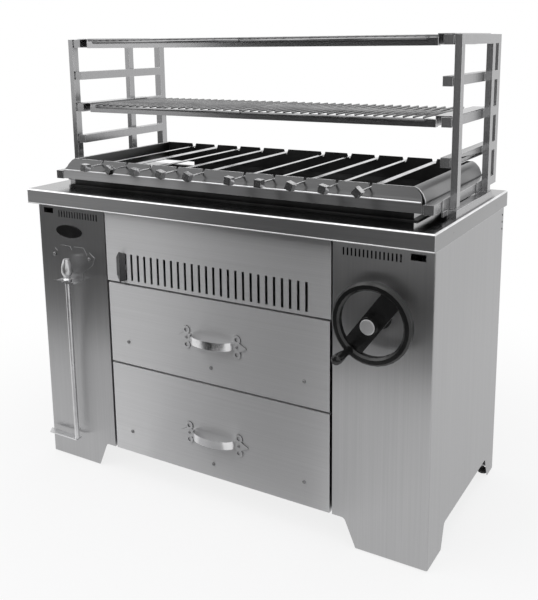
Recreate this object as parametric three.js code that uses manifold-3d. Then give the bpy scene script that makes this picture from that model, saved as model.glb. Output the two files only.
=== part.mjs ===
// Robata grill: a stainless cabinet with a charcoal trough, a crank-lifted fire bed, ten skewers on
// notched rails and a two-shelf warming rack. Millimetres: X to the right, Y to the back, Z up.
import * as THREE from "three";
import { mergeVertices } from "three/addons/utils/BufferGeometryUtils.js";
import Module from "manifold-3d";

const wasm = await Module();
wasm.setup();

// Stock and clearances
const gap = 0.3;
const weld = 0.5;
const overrun = 40;
const sheet = 2;
const heavySheet = 3;
const arcSteps = 4;

// Worktop and cabinet
const topWidth = 1250;
const topDepth = 600;
const topHeight = 850;
const foldHeight = 43;
const hemHeight = 12;
const sideOverhang = 7.5;
const frontOverhang = 32;
const rearOverhang = 3.5;
const columnWidth = 256;
const floorClearance = 4;
const apronHeight = 79;
const returnDepth = 23;
const rearFlangeWidth = 57;

const cabinetHalf = topWidth / 2 - sideOverhang;
const cabinetFront = -topDepth / 2 + frontOverhang;
const cabinetRear = topDepth / 2 - rearOverhang;
const columnInner = cabinetHalf - columnWidth;
const panelTop = topHeight - sheet - gap;
const foldBottom = topHeight - foldHeight;

// Feet cut out of the column sheets
const frontFootWidth = 190;
const frontFootSlant = 32;
const sideFootDepth = 100;
const sideFootSlant = 21;
const rearFootDepth = 51;
const rearFootSlant = 28;
const archHeight = 68;
const footRadius = 12;

// Levelling feet and the plates that carry them
const padRadius = 15;
const padHeight = 6;
const padBevel = 4;
const stemRadius = 4.5;
const stemHeight = 45;
const stemClearance = 0.4;
const nutRadius = 8;
const nutHeight = 7;
const footPlateHeight = 30;
const footPlateDepth = 70;
const rearFootPlateDepth = 50;
const footPlateWidth = 55;
const padSideInset = 20;
const frontPadInset = 46;
const rearPadInset = 28;

// Column vents: a row of slots and one square port
const ventCount = 15;
const ventPitch = 10.35;
const ventWidth = 4;
const ventHeight = 19;
const ventDrop = 63;
const ventCentreInset = 100.5;
const portWidth = 37;
const portHeight = 16;
const portDrop = 58;
const portInset = 22.5;

// Vent panel with its damper
const middleGap = 4.5;
const ventPanelHeight = 250;
const ventSideMargin = 67.5;
const slotCount = 26;
const slotWidth = 7.5;
const slotHeight = 77;
const slotLift = 9;
const damperMargin = 40;
const damperLap = 6;
const tabWidth = 33;
const tabHeight = 88;
const tabFold = 8;
const tabPoint = 18;
const neckHeight = 16;

const ventPanelBottom = topHeight - ventPanelHeight;
const ventHalf = columnInner - middleGap;
const slotPitch = (2 * (ventHalf - ventSideMargin)) / (slotCount - 1);
const damperStroke = slotPitch / 2;

// Drawers, their runners and the bulkheads
const drawerGap = 7.5;
const seamHeight = 6;
const upperDrawerHeight = 244;
const drawerReturn = 18;
const boxSideInset = 19;
const boxRearRoom = 30;
const boxLift = 16;
const boxTopDrop = 34;
const runnerReach = 17;
const ledgeReach = 24;
const keeperRise = 8;
const ledgeShare = 0.52;
const bulkheadTopDrop = 10;

// Drawer handles: a bowed strip between two scrolled plates
const handleSpacing = 164;
const handleBow = 30;
const handleStripHeight = 22;
const handleStripSpan = 132;
const bowSteps = 10;
const rosetteRadius = 14;
const scrollRadius = 12;
const scrollHole = 6;
const scrollOffset = 21;
const leafReach = 32;
const leafHalf = 13;
const handleShare = 0.51;
const lowerHandleShare = 0.43;

// Firebox, set in from the worktop's edges
const rimSideInset = 78;
const rimFrontInset = 101;
const rimRearInset = 30;
const tubSideLip = 17;
const tubEndLip = 14;
const tubDepth = 128;
const tubSideSlope = 80;
const tubEndSlope = 29;
const tubClearance = 2;
const ashHoleHalf = 60;
const ashHoleDepth = 50;

const rimHalf = topWidth / 2 - rimSideInset;
const rimFront = -topDepth / 2 + rimFrontInset;
const rimRear = topDepth / 2 - rimRearInset;
const tubTopHalf = rimHalf - tubSideLip;
const tubTopFront = rimFront + tubEndLip;
const tubTopRear = rimRear - tubEndLip;
const tubFloor = topHeight - tubDepth;
const tubFloorHalf = tubTopHalf - tubSideSlope;
const tubFloorFront = tubTopFront + tubEndSlope;
const tubFloorRear = tubTopRear - tubEndSlope;

// Lifting fire bed and its carrier
const bedSideGap = 20;
const bedEndGap = 8;
const bedRise = 68;
const bedRim = 12;
const bedSlots = 14;
const bedSlotWidth = 10;
const bedSlotMargin = 53;
const bedSlotEnd = 26.75;
const liftUp = 15;
const liftDown = 60;
const beamHeight = 16;
const beamWidth = 16;
const beamRise = 36;
const rodRadius = 6;
const rodInset = 60;
const rodClearance = 1.5;
const rodPadRadius = 18;
const rodPadHeight = 4;

const bedHalf = tubFloorHalf - bedSideGap;
const bedFront = tubFloorFront + bedEndGap;
const bedRear = tubFloorRear - bedEndGap;
const bedHeight = tubFloor + bedRise;
const bedSlotLength = (bedRear - bedFront) / 2 - 2 * bedSlotEnd;
const bedSlotPitch = (2 * (bedHalf - bedSlotMargin)) / (bedSlots - 1);
const rodSpread = bedHalf - rodInset;
const carrierY = (bedFront + bedRear) / 2;

// Handwheel, shaft, pinion and rack
const wheelInset = 130.5;
const wheelDrop = 222;
const toothModule = 2;
const pinionTeeth = 14;
const pressureAngle = THREE.MathUtils.degToRad(20);
const backlash = 0.5;
const meshGap = 0.3;
const rackBack = 8;
const shaftRadius = 8;
const shaftClearance = 0.5;
const shaftTail = 18;
const pinionWidth = 14;
const bearingFlangeRadius = 28;
const bearingFlange = 4;
const bearingSleeveRadius = 14;
const bearingSleeveDepth = 14;
const bracketThickness = 6;
const bracketHeight = 60;
const bracketFoot = 36;
const rimOuter = 100;
const rimRadial = 20;
const rimDepth = 23;
const rimStandOff = 40;
const spokeWidth = 52;
const spokeThickness = 8;
const hubRadius = 22;
const hubFrontReach = 80;
const hubBackReach = 12;
const capRadius = 18.5;
const capThickness = 3;
const gripAngle = THREE.MathUtils.degToRad(233.4);
const gripRadius = 87;
const gripLength = 75;
const gripTip = 13;
const gripWaist = 8;
const gripBase = 11;
const gripPinRadius = 4;
const gripPinClearance = 0.5;
const gripPinDepth = 50;

const wheelX = cabinetHalf - wheelInset;
const wheelZ = topHeight - wheelDrop;
const beamBottom = wheelZ + beamRise;

// Tool bracket and ash rake on the left column
const toolInset = 127.5;
const bracketDrop = 197;
const earSpan = 68;
const earRadius = 19;
const bracketTopRise = 30;
const bracketTopHalf = 46;
const toolNotchHalf = 8;
const toolNotchDepth = 11;
const ledgeDrop = 69;
const forkHalf = 38;
const forkReach = 42;
const forkSlotHalf = 8;
const rakeStandOff = 25;
const rakeRodRadius = 7;
const rakeCollarRadius = 13;
const rakeCollarHeight = 5;
const rakeHandleLength = 62;
const rakeHandleRadius = 16;
const rakeNeckRadius = 9;
const rakeBottom = 84;
const rakeBladeLength = 124;
const rakeBladeWidth = 22;
const rakeBladeThickness = 4;
const rakeBladeTaper = 14;

const toolX = -cabinetHalf + toolInset;
const bracketEarZ = topHeight - bracketDrop;
const ledgeZ = bracketEarZ - ledgeDrop;

// Notched rail, rear wall and curved side shields
const skewerRise = 71;
const notchCount = 10;
const notchCentreGap = 131;
const notchEndInset = 106.9;
const notchDepth = 10;
const railHeight = 58;
const railOverhang = 13;
const railTopInset = 22;
const railCreaseInset = 12;
const railCreaseRise = 34;
const railLipInset = 2;
const railLipRise = 25;
const railLegInset = 25;
const frontNotchRadius = 2.9;
const frontNotchFlare = 2;
const crossBarWidth = 17;
const crossBarHeight = 20;
const rearWallInset = 38;
const rearWallLap = 5;
const rearNotchRadius = 4.8;
const rearNotchFlare = 3.5;
const shieldTopWidth = 4;
const shieldWidth = 31;
const shieldHeight = 45;
const shieldShares = [
  [0.42, 0.11],
  [0.74, 0.36],
  [0.94, 0.69],
  [1, 1],
];

const skewerZ = topHeight + skewerRise;
const railTop = skewerZ + notchDepth;
const railBottom = railTop - railHeight;
const railBottomY = rimFront - railOverhang;
const railLegY = railBottomY + railLegInset;
const rackRear = topDepth / 2;
const rearWallFront = rackRear - rearWallInset;
const shieldInner = tubTopHalf;
const shieldTopX = shieldInner + shieldTopWidth;
const shieldOuterX = shieldInner + shieldWidth;
const notchPitch = (shieldInner - notchEndInset - notchCentreGap / 2) / (notchCount / 2 - 1);

// Skewers
const neckRadius = 2.5;
const blockSize = 20;
const blockReach = 52;
const neckLap = 12;
const bladeWidth = 8;
const bladeThickness = 2.5;
const bladeTipInset = 10;
const bladePoint = 26;
const bladeShoulder = 10;
const skewerTurns = [6, 34, 12, 18, 24, 10, 4, 22, 14, 42];

// Warming rack: stepped inner frames, outer frames and shelves
const tubeSize = 24;
const rackSideGap = 5;
const sideTubeExtra = 1;
const rungSetback = 104;
const rungRise = 117;
const rungPitch = 96;
const rungCount = 4;
const outerPostWidth = 17;
const outerPostDepth = 23;
const postGap = 4;
const postLead = 3;
const rearPostInset = 153;
const sillWidth = 24;
const sillHeight = 20;
const sillLead = 19;
const lugLength = 55;
const lugLift = 8;
const lugLap = 4;
const frontLugOverlap = 6;
const rearLugOverlap = 16;
const padSize = 16;
const shelfSideGap = 17;
const shelfFlangeReach = 39;
const shelfTubeDepth = 18;
const shelfTubeHeight = 19;
const shelfTubeDrop = 7;
const shelfFrontInset = 11;
const shelfRearInset = 95;
const gridSideInset = 27;
const gridJoint = 2;
const borderRadius = 4;
const wireRadius = 2.7;
const wireCount = 21;

const innerFrameX = shieldOuterX + rackSideGap;
const innerFrameOuter = innerFrameX + tubeSize;
const sideTubeBottom = railBottom - (tubeSize - crossBarHeight) / 2;
const sideTubeTop = sideTubeBottom + tubeSize;
const sideTubeFront = railBottomY;
const postFront = rackRear - tubeSize;
const rungFront = sideTubeFront + rungSetback;
const frontPostY = rungFront - postLead;
const rearPostY = rackRear - rearPostInset;
const shelfHalf = innerFrameX - shelfSideGap;
const shelfFront = rungFront + shelfFrontInset;
const shelfRear = rackRear - shelfRearInset;

const black = { color: 0x161616, roughness: 0.45, metalness: 0.2 };
const steel = { color: 0xb9bbbd, roughness: 0.32, metalness: 0.95 };
const darkSteel = { color: 0x2b2b2c, roughness: 0.6, metalness: 0.7 };
const bright = { color: 0xd5d6d8, roughness: 0.22, metalness: 1 };

// Solids from three.js geometry, joined and cut as closed bodies

function solid(geometry) {
  const bare = geometry.index ? geometry.toNonIndexed() : geometry.clone();
  bare.deleteAttribute("normal");
  bare.deleteAttribute("uv");
  const merged = mergeVertices(bare, 1e-4);
  const corners = Float32Array.from(merged.attributes.position.array);
  const faces = Uint32Array.from(merged.index.array);
  const made = new wasm.Manifold(
    new wasm.Mesh({ numProp: 3, vertProperties: corners, triVerts: faces }),
  );
  if (made.volume() > 0) return made;
  const turned = faces.slice();
  for (let i = 0; i < turned.length; i += 3) {
    turned[i] = faces[i + 1];
    turned[i + 1] = faces[i];
  }
  return new wasm.Manifold(
    new wasm.Mesh({ numProp: 3, vertProperties: corners, triVerts: turned }),
  );
}

function geometryOf(body) {
  const { vertProperties, triVerts } = body.getMesh();
  const geometry = new THREE.BufferGeometry();
  geometry.setAttribute("position", new THREE.BufferAttribute(vertProperties, 3));
  geometry.setIndex(new THREE.BufferAttribute(triVerts, 1));
  return geometry;
}

const join = (...bodies) => bodies.flat().reduce((whole, body) => whole.add(body));
const cut = (body, ...tools) => tools.flat().reduce((rest, tool) => rest.subtract(tool), body);
const mirrorX = (body) => solid(geometryOf(body).scale(-1, 1, 1));

// Each corner of a unit shape is set to the exact named place, so faces that meet share their values
function placed(geometry, place) {
  const at = geometry.attributes.position;
  for (let i = 0; i < at.count; i++) at.setXYZ(i, ...place(at.getX(i), at.getY(i), at.getZ(i)));
  return solid(geometry);
}

function box(x0, x1, y0, y1, z0, z1) {
  return placed(new THREE.BoxGeometry(1, 1, 1), (x, y, z) => [
    x < 0 ? x0 : x1,
    y < 0 ? y0 : y1,
    z < 0 ? z0 : z1,
  ]);
}

// A prism along an axis. Its outline is in (y, z) for x, in (x, z) for y and in (x, y) for z.
function prism(axis, outline, low, high, holes = []) {
  const shape = new THREE.Shape(outline.map(([u, v]) => new THREE.Vector2(u, v)));
  const geometry = new THREE.ExtrudeGeometry(shape, { depth: 1, bevelEnabled: false });
  const body = placed(geometry, (u, v, depth) => {
    const along = depth > 0 ? high : low;
    if (axis === "x") return [along, u, v];
    return axis === "y" ? [u, along, v] : [u, v, along];
  });
  return cut(
    body,
    holes.map((hole) => prism(axis, hole, low - overrun, high + overrun)),
  );
}

function circle(u, v, radius, sides = 20) {
  return Array.from({ length: sides }, (_, i) => {
    const a = (2 * Math.PI * (i + 1 / 2)) / sides;
    return [u + radius * Math.cos(a), v + radius * Math.sin(a)];
  });
}

const rect = (u0, u1, v0, v1) => [[u0, v0], [u1, v0], [u1, v1], [u0, v1]];

const diamond = (u, v, radius) => [[u - radius, v], [u, v - radius], [u + radius, v], [u, v + radius]];

const rod = (axis, u, v, radius, low, high, sides) =>
  prism(axis, circle(u, v, radius, sides), low, high);

// An outline whose corners [u, v, radius] are rounded off where a radius is given
function rounded(corners) {
  const points = [];
  corners.forEach(([u, v, radius], i) => {
    if (!radius) {
      points.push([u, v]);
      return;
    }
    const here = new THREE.Vector2(u, v);
    const before = new THREE.Vector2(...corners[(i + corners.length - 1) % corners.length]);
    const after = new THREE.Vector2(...corners[(i + 1) % corners.length]);
    const back = before.sub(here).normalize();
    const on = after.sub(here).normalize();
    const half = Math.acos(THREE.MathUtils.clamp(back.dot(on), -1, 1)) / 2;
    const reach = radius / Math.tan(half);
    const centre = back.clone().add(on).normalize().multiplyScalar(radius / Math.sin(half)).add(here);
    const start = back.multiplyScalar(reach).add(here).sub(centre);
    const end = on.multiplyScalar(reach).add(here).sub(centre);
    let sweep = end.angle() - start.angle();
    if (sweep > Math.PI) sweep -= 2 * Math.PI;
    if (sweep < -Math.PI) sweep += 2 * Math.PI;
    for (let k = 0; k <= arcSteps; k++) {
      const a = start.angle() + (sweep * k) / arcSteps;
      points.push([centre.x + radius * Math.cos(a), centre.y + radius * Math.sin(a)]);
    }
  });
  return points;
}

// The outline of a sheet of constant thickness that follows a line of points
function strip(points, thickness) {
  const sides = points.map((point, i) => {
    const here = new THREE.Vector2(...point);
    const before = new THREE.Vector2(...points[Math.max(i - 1, 0)]);
    const after = new THREE.Vector2(...points[Math.min(i + 1, points.length - 1)]);
    const first = i > 0 ? here.clone().sub(before).normalize() : after.clone().sub(here).normalize();
    const last = i < points.length - 1 ? after.clone().sub(here).normalize() : first.clone();
    const along = first.clone().add(last).normalize();
    const out = new THREE.Vector2(-along.y, along.x);
    const stretch = thickness / 2 / Math.max(along.dot(first), 1 / 2);
    return [here.clone().addScaledVector(out, stretch), here.clone().addScaledVector(out, -stretch)];
  });
  const left = sides.map(([a]) => [a.x, a.y]);
  const right = sides.map(([, b]) => [b.x, b.y]);
  return left.concat(right.reverse());
}

// A body turned round the Y axis through (x, z), from [radius, y] pairs
function turned(x, z, profile, sides) {
  const points = profile.map(([r, y]) => new THREE.Vector2(r, y));
  return solid(new THREE.LatheGeometry(points, sides).translate(x, 0, z));
}

// A body with a rectangle below and another above, each [x0, x1, y0, y1]
function taper(lowZ, low, highZ, high) {
  const ring = ([x0, x1, y0, y1], z) => [x0, y0, z, x1, y0, z, x1, y1, z, x0, y1, z];
  const geometry = new THREE.BufferGeometry();
  const corners = new Float32Array([...ring(low, lowZ), ...ring(high, highZ)]);
  geometry.setAttribute("position", new THREE.BufferAttribute(corners, 3));
  const faces = [0, 2, 1, 0, 3, 2, 4, 5, 6, 4, 6, 7];
  for (let i = 0; i < 4; i++) {
    const j = (i + 1) % 4;
    faces.push(i, j, j + 4, i, j + 4, i + 4);
  }
  geometry.setIndex(faces);
  return solid(geometry);
}

const spread = (count, pitch) => Array.from({ length: count }, (_, i) => (i - (count - 1) / 2) * pitch);

const grill = new THREE.Group();

function addMesh(name, geometry, look) {
  const mesh = new THREE.Mesh(geometry, new THREE.MeshStandardMaterial(look));
  mesh.name = name;
  grill.add(mesh);
  return mesh;
}

function add(name, body, look) {
  const geometry = geometryOf(body);
  geometry.computeVertexNormals();
  return addMesh(name, geometry, look);
}

// Worktop: a folded tray with the firebox opening and a hem inside the front fold
function worktop() {
  const half = topWidth / 2;
  const deep = topDepth / 2;
  const hole = tubTopHalf + heavySheet + tubClearance;
  const shell = cut(
    box(-half, half, -deep, deep, foldBottom, topHeight),
    box(-half + sheet, half - sheet, -deep + sheet, deep - sheet, foldBottom - overrun, topHeight - sheet),
    box(
      -hole,
      hole,
      tubTopFront - heavySheet - tubClearance,
      tubTopRear + heavySheet + tubClearance,
      foldBottom,
      topHeight + overrun,
    ),
  );
  const hem = box(
    -half + sheet,
    half - sheet,
    -deep + sheet - weld,
    -deep + 2 * sheet,
    foldBottom,
    foldBottom + hemHeight,
  );
  return shell.add(hem);
}

// A column: front sheet with vents and a cut-out foot, arched side sheet, returns and foot plates
function frontSheet(withShaft) {
  const footInner = cabinetHalf - frontFootWidth;
  const outline = rounded([
    [columnInner, apronHeight],
    [footInner - frontFootSlant, apronHeight, footRadius],
    [footInner, floorClearance],
    [cabinetHalf, floorClearance],
    [cabinetHalf, panelTop],
    [columnInner, panelTop],
  ]);
  const slotTop = topHeight - ventDrop;
  const holes = spread(ventCount, ventPitch).map((x) => {
    const centre = columnInner + ventCentreInset + x;
    return rect(centre - ventWidth / 2, centre + ventWidth / 2, slotTop - ventHeight, slotTop);
  });
  const portRight = cabinetHalf - portInset;
  const portTop = topHeight - portDrop;
  holes.push(rect(portRight - portWidth, portRight, portTop - portHeight, portTop));
  if (withShaft) holes.push(circle(wheelX, wheelZ, bearingSleeveRadius + gap * 2));
  return prism("y", outline, cabinetFront, cabinetFront + sheet, holes);
}

function sideSheet() {
  const footRear = cabinetFront + sideFootDepth;
  const rearFoot = cabinetRear - rearFootDepth;
  const outline = rounded([
    [cabinetFront, floorClearance],
    [footRear, floorClearance],
    [footRear + sideFootSlant, archHeight, footRadius],
    [rearFoot - rearFootSlant, archHeight, footRadius],
    [rearFoot, floorClearance],
    [cabinetRear, floorClearance],
    [cabinetRear, panelTop],
    [cabinetFront, panelTop],
  ]);
  return prism("x", outline, cabinetHalf - sheet, cabinetHalf);
}

const padX = cabinetHalf - padSideInset;
const frontPadY = cabinetFront + frontPadInset;
const rearPadY = cabinetRear - rearPadInset;

function footPlate(nearY, farY, padY) {
  const inner = cabinetHalf - sheet - footPlateWidth;
  const outer = cabinetHalf - sheet + weld;
  return cut(
    box(inner, outer, nearY, farY, footPlateHeight, footPlateHeight + heavySheet),
    rod("z", padX, padY, stemRadius + stemClearance, footPlateHeight - overrun, footPlateHeight + overrun),
  );
}

function column(withShaft) {
  return join(
    frontSheet(withShaft),
    sideSheet(),
    box(columnInner, columnInner + sheet, cabinetFront, cabinetFront + returnDepth, apronHeight, panelTop),
    box(
      cabinetHalf - rearFlangeWidth,
      cabinetHalf,
      cabinetRear - sheet,
      cabinetRear,
      floorClearance,
      panelTop,
    ),
    footPlate(cabinetFront + sheet - weld, cabinetFront + footPlateDepth, frontPadY),
    footPlate(cabinetRear - rearFootPlateDepth, cabinetRear - sheet + weld, rearPadY),
  );
}

function levellingFoot() {
  const nutTop = footPlateHeight - gap;
  const profile = [
    [0, 0],
    [padRadius, 0],
    [padRadius, padHeight],
    [padRadius - padBevel, padHeight + padBevel],
    [stemRadius, padHeight + padBevel],
    [stemRadius, nutTop - nutHeight],
    [nutRadius, nutTop - nutHeight],
    [nutRadius, nutTop],
    [stemRadius, nutTop],
    [stemRadius, stemHeight],
    [0, stemHeight],
  ];
  const points = profile.map(([r, z]) => new THREE.Vector2(r, z));
  return solid(new THREE.LatheGeometry(points, 10).rotateX(Math.PI / 2));
}

// Back panel, base pan and the two bulkheads that carry the drawers
const linerHalf = cabinetHalf - sheet - gap;
const backFront = cabinetRear - 2 * sheet - gap;
const panTop = apronHeight + sheet;
const drawerHalf = columnInner - drawerGap;
const upperDrawerTop = ventPanelBottom - seamHeight;
const upperDrawerBottom = ventPanelBottom - upperDrawerHeight;
const lowerDrawerTop = upperDrawerBottom - seamHeight;
const boxHalf = drawerHalf - boxSideInset;
const boxFront = cabinetFront + sheet + gap;
const boxRear = backFront - boxRearRoom;
const upperLedge = upperDrawerBottom + ledgeShare * (upperDrawerTop - upperDrawerBottom);
const lowerLedge = apronHeight + ledgeShare * (lowerDrawerTop - apronHeight);

const backPanel = () => box(-linerHalf, linerHalf, backFront, backFront + sheet, apronHeight, panelTop);

function basePan() {
  const front = cabinetFront + returnDepth + gap;
  const rear = backFront - gap;
  const lipTop = apronHeight + returnDepth;
  const channel = [
    [-linerHalf, lipTop],
    [-linerHalf, apronHeight],
    [linerHalf, apronHeight],
    [linerHalf, lipTop],
    [linerHalf - sheet, lipTop],
    [linerHalf - sheet, panTop],
    [-linerHalf + sheet, panTop],
    [-linerHalf + sheet, lipTop],
  ];
  return prism("y", channel, front, rear);
}

function bulkhead() {
  const inner = columnInner + sheet + gap;
  const front = cabinetFront + sheet + gap;
  const rear = backFront - gap;
  const bottom = panTop + gap;
  const top = ventPanelBottom - bulkheadTopDrop;
  const ledgeFront = cabinetFront + returnDepth + gap;
  const shelf = (z) =>
    box(inner - ledgeReach, inner + weld, ledgeFront, rear, z - sheet, z);
  const keeper = (z) => shelf(z + keeperRise + 2 * sheet);
  return join(
    box(inner, inner + sheet, front, rear, bottom, top),
    shelf(lowerLedge),
    keeper(lowerLedge),
    shelf(upperLedge),
    keeper(upperLedge),
  );
}

// Vent panel: slotted sheet with side returns and the damper's guides behind it
const slotBottom = ventPanelBottom + slotLift;
const slotXs = spread(slotCount, slotPitch);
const damperBottom = slotBottom - damperLap;
const damperTop = slotBottom + slotHeight + damperLap;
const damperHalf = slotXs.at(-1) + damperMargin;
const damperFront = cabinetFront + sheet + gap;
const neckX = slotXs[0] + slotWidth / 2 - gap;
const neckMid = slotBottom + slotHeight / 2;

function ventPanel() {
  const back = cabinetFront + sheet;
  const slots = slotXs.map((x) =>
    rect(x - slotWidth / 2, x + slotWidth / 2, slotBottom, slotBottom + slotHeight));
  const neckWindow = box(
    neckX - sheet - damperStroke - gap * 2,
    neckX,
    cabinetFront - overrun,
    back + overrun,
    neckMid - neckHeight / 2 - gap * 2,
    neckMid + neckHeight / 2 + gap * 2,
  );
  const flangeFront = cabinetFront + returnDepth + gap;
  const half = (s) => [
    [s * ventHalf, cabinetFront],
    [s * ventHalf, flangeFront],
    [s * (columnInner + sheet), flangeFront],
    [s * (columnInner + sheet), flangeFront + sheet],
    [s * (ventHalf - sheet), flangeFront + sheet],
    [s * (ventHalf - sheet), back],
  ];
  const folded = prism("z", [...half(1), ...half(-1).reverse()], ventPanelBottom, panelTop);
  const guideFront = damperFront + sheet + gap;
  const guide = (edge, up) => {
    const profile = [
      [back - weld, edge + up * gap],
      [guideFront, edge + up * gap],
      [guideFront, edge - up * (damperLap - sheet)],
      [guideFront + sheet, edge - up * (damperLap - sheet)],
      [guideFront + sheet, edge + up * (gap + sheet)],
      [back - weld, edge + up * (gap + sheet)],
    ];
    return prism("x", profile, -ventHalf + sheet - weld, ventHalf - sheet + weld);
  };
  const cuts = slots.map((outline) => prism("y", outline, cabinetFront - overrun, back + weld));
  return join(cut(folded, cuts, neckWindow), guide(damperTop, 1), guide(damperBottom, -1));
}

// Damper: a slotted plate behind the vents, pulled by a folded tab in front of them
function damper() {
  const holes = slotXs.map((x) =>
    rect(x - slotWidth / 2, x + slotWidth / 2, slotBottom, slotBottom + slotHeight));
  const plate = prism(
    "y",
    rect(-damperHalf, damperHalf, damperBottom, damperTop),
    damperFront,
    damperFront + sheet,
    holes,
  );
  const tabRight = neckX;
  const tabY = cabinetFront - sheet;
  const fold = strip(
    [
      [tabRight - tabWidth, tabY],
      [tabRight - tabWidth / 2, tabY - tabFold],
      [tabRight - sheet / 2, tabY],
    ],
    sheet,
  );
  const hexagon = [
    [tabRight - tabWidth - overrun, neckMid + tabHeight / 2 - tabPoint],
    [tabRight - tabWidth, neckMid + tabHeight / 2 - tabPoint],
    [tabRight - tabWidth / 2, neckMid + tabHeight / 2],
    [tabRight + overrun, neckMid + tabHeight / 2 - tabPoint],
    [tabRight + overrun, neckMid - tabHeight / 2 + tabPoint],
    [tabRight - tabWidth / 2, neckMid - tabHeight / 2],
    [tabRight - tabWidth, neckMid - tabHeight / 2 + tabPoint],
    [tabRight - tabWidth - overrun, neckMid - tabHeight / 2 + tabPoint],
  ];
  const tab = prism("z", fold, neckMid - tabHeight / 2, neckMid + tabHeight / 2).intersect(
    prism("y", hexagon, tabY - tabFold - overrun, cabinetFront),
  );
  const neckLow = neckMid - neckHeight / 2;
  const neckHigh = neckMid + neckHeight / 2;
  const neckFront = tabY - sheet / 2;
  const neck = box(tabRight - sheet, tabRight - gap, neckFront, damperFront + sheet, neckLow, neckHigh);
  const foot = box(
    tabRight - slotWidth - sheet,
    tabRight - gap,
    damperFront,
    damperFront + sheet,
    neckLow,
    neckHigh,
  );
  return join(plate, tab, neck, foot);
}

// Drawer front, drawer box with side runners, and the bowed handle
function drawerFront(bottom, top) {
  const rear = cabinetFront + drawerReturn;
  return cut(
    box(-drawerHalf, drawerHalf, cabinetFront, rear, bottom, top),
    box(
      -drawerHalf + sheet,
      drawerHalf - sheet,
      cabinetFront + sheet,
      rear + overrun,
      bottom + sheet,
      top - sheet,
    ),
  );
}

function drawerBox(bottom, top, ledge) {
  const low = bottom + boxLift;
  const high = top - boxTopDrop;
  const runner = (s) =>
    box(s * (boxHalf - weld), s * (boxHalf + runnerReach), boxFront + drawerReturn, boxRear,
      ledge + gap, ledge + gap + sheet);
  return join(
    cut(
      box(-boxHalf, boxHalf, boxFront, boxRear, low, high),
      box(-boxHalf + sheet, boxHalf - sheet, boxFront + sheet, boxRear - sheet, low + sheet, high + overrun),
    ),
    runner(-1),
    runner(1),
  );
}

function scrollPlate(x, z, s) {
  const back = cabinetFront - gap;
  const front = back - sheet;
  const scroll = (up) =>
    prism("y", circle(x, z + up * scrollOffset, scrollRadius, 10), front, back, [
      circle(x, z + up * scrollOffset, scrollHole, 6),
    ]);
  const leaf = rounded([
    [x + s * (rosetteRadius / 2), z - leafHalf],
    [x + s * leafReach, z, sheet],
    [x + s * (rosetteRadius / 2), z + leafHalf],
  ]);
  return join(
    rod("y", x, z, rosetteRadius, front, back, 12),
    scroll(-1),
    scroll(1),
    prism("y", leaf, front, back),
  );
}

function handle(z) {
  const half = handleStripSpan / 2;
  const foot = cabinetFront - gap - sheet / 2;
  const bow = Array.from({ length: bowSteps + 1 }, (_, i) => {
    const a = (Math.PI * i) / bowSteps;
    return [-half * Math.cos(a), foot - handleBow * Math.sin(a)];
  });
  const line = [[-handleSpacing / 2, foot], ...bow, [handleSpacing / 2, foot]];
  const low = z - handleStripHeight / 2;
  const band = prism("z", strip(line, sheet), low, low + handleStripHeight);
  const clear = box(
    -half - overrun,
    half + overrun,
    cabinetFront - gap,
    cabinetFront + overrun,
    low - overrun,
    low + handleStripHeight + overrun,
  );
  return join(
    cut(band, clear),
    scrollPlate(-handleSpacing / 2, z, -1),
    scrollPlate(handleSpacing / 2, z, 1),
  );
}

// Firebox: a sloping trough under a flat rim, with an ash opening and two guide holes
function firebox() {
  const rimLow = topHeight + gap;
  const rimHigh = rimLow + heavySheet;
  const wall = heavySheet;
  const topRect = (grow) => [
    -tubTopHalf - grow,
    tubTopHalf + grow,
    tubTopFront - grow,
    tubTopRear + grow,
  ];
  const floorRect = (grow) => [
    -tubFloorHalf - grow,
    tubFloorHalf + grow,
    tubFloorFront - grow,
    tubFloorRear + grow,
  ];
  const holes = [-1, 1].map((s) =>
    rod("z", s * rodSpread, carrierY, rodRadius + rodClearance, tubFloor - overrun, tubFloor + overrun));
  return cut(
    join(
      box(-rimHalf, rimHalf, rimFront, rimRear, rimLow, rimHigh),
      taper(tubFloor - wall, floorRect(wall), rimHigh, topRect(wall)),
    ),
    taper(tubFloor, floorRect(0), rimHigh, topRect(0)),
    box(-tubTopHalf, tubTopHalf, tubTopFront, tubTopRear, rimHigh - weld, rimHigh + overrun),
    box(
      -ashHoleHalf,
      ashHoleHalf,
      carrierY + beamWidth,
      carrierY + beamWidth + ashHoleDepth,
      tubFloor - overrun,
      tubFloor + weld,
    ),
    holes,
  );
}

function fireBed() {
  const rimTop = bedHeight + bedRim;
  const slots = spread(bedSlots, bedSlotPitch).flatMap((x) =>
    [-1, 1].map((s) => {
      const middle = (bedFront + bedRear) / 2 + s * (bedRear - bedFront) / 4;
      return rect(
        x - bedSlotWidth / 2,
        x + bedSlotWidth / 2,
        middle - bedSlotLength / 2,
        middle + bedSlotLength / 2,
      );
    }));
  const floor = prism(
    "z",
    rect(-bedHalf, bedHalf, bedFront, bedRear),
    bedHeight,
    bedHeight + heavySheet,
    slots,
  );
  const rim = cut(
    box(-bedHalf, bedHalf, bedFront, bedRear, bedHeight + weld, rimTop),
    box(
      -bedHalf + heavySheet,
      bedHalf - heavySheet,
      bedFront + heavySheet,
      bedRear - heavySheet,
      bedHeight - overrun,
      rimTop + overrun,
    ),
  );
  return floor.add(rim);
}

// Rack and pinion: the pinion is part of the shaft and the rack is part of the carrier
const pitchRadius = (toothModule * pinionTeeth) / 2;
const tipRadius = pitchRadius + toothModule;
const rootRadius = pitchRadius - 1.25 * toothModule;
const toothPitch = Math.PI * toothModule;
const rackPitchX = wheelX - pitchRadius - meshGap;

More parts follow.
